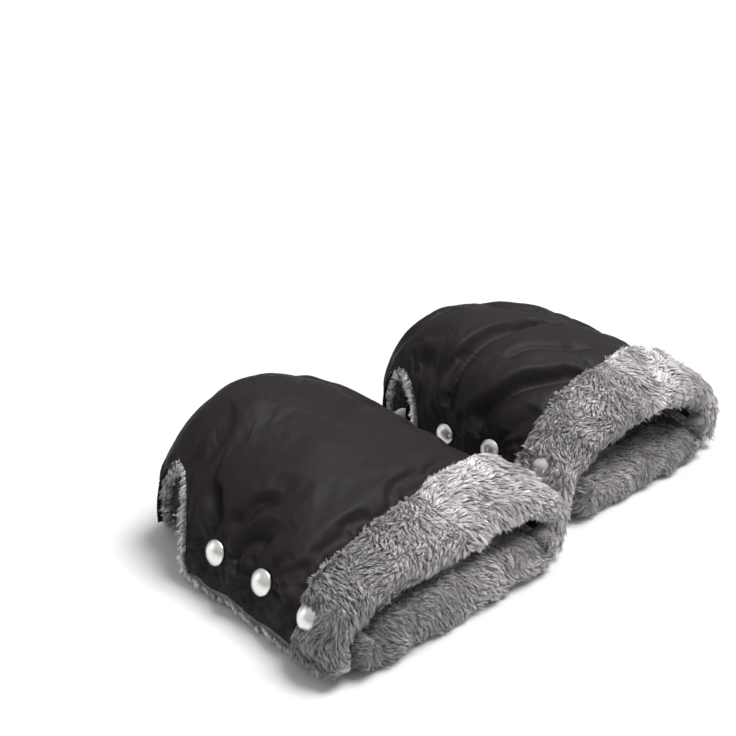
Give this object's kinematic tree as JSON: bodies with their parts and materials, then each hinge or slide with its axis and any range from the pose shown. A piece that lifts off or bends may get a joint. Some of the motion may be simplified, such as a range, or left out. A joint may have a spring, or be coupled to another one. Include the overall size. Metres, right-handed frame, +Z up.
{
  "type": "stroller hand muff",
  "caption": "Padded hand muffs for a stroller handle: black pockets with plush lining, turned-back plush cuffs, side openings for the bar and domed snaps.",
  "frame": {"origin": "centre of the pair's bounding box, on the surface that the muffs lie on", "axes": "+X along the handle bar from the left muff to the right one, +Y from the mouths to the folds, +Z up"},
  "size_m": [0.4622, 0.2474, 0.1028],
  "materials": {
    "black_polyester": "soft satin polyester",
    "white_wadding": "matt polyester fibre",
    "grey_plush": "long soft pile",
    "nickel": "polished nickel plate"
  },
  "bodies": {
    "left_bottom_panel": {"left_bottom_shell": "black_polyester", "left_bottom_wadding": "white_wadding", "left_bottom_lining": "grey_plush", "left_bottom_cuff": "grey_plush", "left_fold_binding": "black_polyester", "left_snap_stud_1": "nickel", "left_snap_stud_2": "nickel", "left_snap_stud_3": "nickel", "left_snap_stud_4": "nickel", "left_snap_stud_5": "nickel", "left_snap_stud_6": "nickel"},
    "left_top_panel": {"left_top_shell": "black_polyester", "left_top_wadding": "white_wadding", "left_top_lining": "grey_plush", "left_top_cuff": "grey_plush", "left_left_edge_piping": "grey_plush", "left_right_edge_piping": "grey_plush", "left_snap_cap_1": "nickel", "left_snap_cap_2": "nickel", "left_snap_cap_3": "nickel", "left_snap_cap_4": "nickel", "left_snap_cap_5": "nickel", "left_snap_cap_6": "nickel", "left_snap_socket_1": "nickel", "left_snap_socket_2": "nickel", "left_snap_socket_3": "nickel", "left_snap_socket_4": "nickel", "left_snap_socket_5": "nickel", "left_snap_socket_6": "nickel"},
    "right_bottom_panel": {"right_bottom_shell": "black_polyester", "right_bottom_wadding": "white_wadding", "right_bottom_lining": "grey_plush", "right_bottom_cuff": "grey_plush", "right_fold_binding": "black_polyester", "right_snap_stud_1": "nickel", "right_snap_stud_2": "nickel", "right_snap_stud_3": "nickel", "right_snap_stud_4": "nickel", "right_snap_stud_5": "nickel", "right_snap_stud_6": "nickel"},
    "right_top_panel": {"right_top_shell": "black_polyester", "right_top_wadding": "white_wadding", "right_top_lining": "grey_plush", "right_top_cuff": "grey_plush", "right_left_edge_piping": "grey_plush", "right_right_edge_piping": "grey_plush", "right_snap_cap_1": "nickel", "right_snap_cap_2": "nickel", "right_snap_cap_3": "nickel", "right_snap_cap_4": "nickel", "right_snap_cap_5": "nickel", "right_snap_cap_6": "nickel", "right_snap_socket_1": "nickel", "right_snap_socket_2": "nickel", "right_snap_socket_3": "nickel", "right_snap_socket_4": "nickel", "right_snap_socket_5": "nickel", "right_snap_socket_6": "nickel"}
  },
  "joints": [
    {"name": "left_top_panel_hinge", "type": "hinge", "parent": "left_bottom_panel", "child": "left_top_panel", "pos_m": [-0.1209, 0.10046, 0.008], "axis": [-1, 0, 0], "range_deg": [0, 95]},
    {"name": "right_top_panel_hinge", "type": "hinge", "parent": "right_bottom_panel", "child": "right_top_panel", "pos_m": [0.1227, 0.12366, 0.008], "axis": [-1, 0, 0], "range_deg": [0, 95]},
    {"name": "right_muff_slide", "type": "slide", "parent": "left_bottom_panel", "child": "right_bottom_panel", "axis": [1, 0, 0], "range_m": [-0.015, 0.12]}
  ]
}
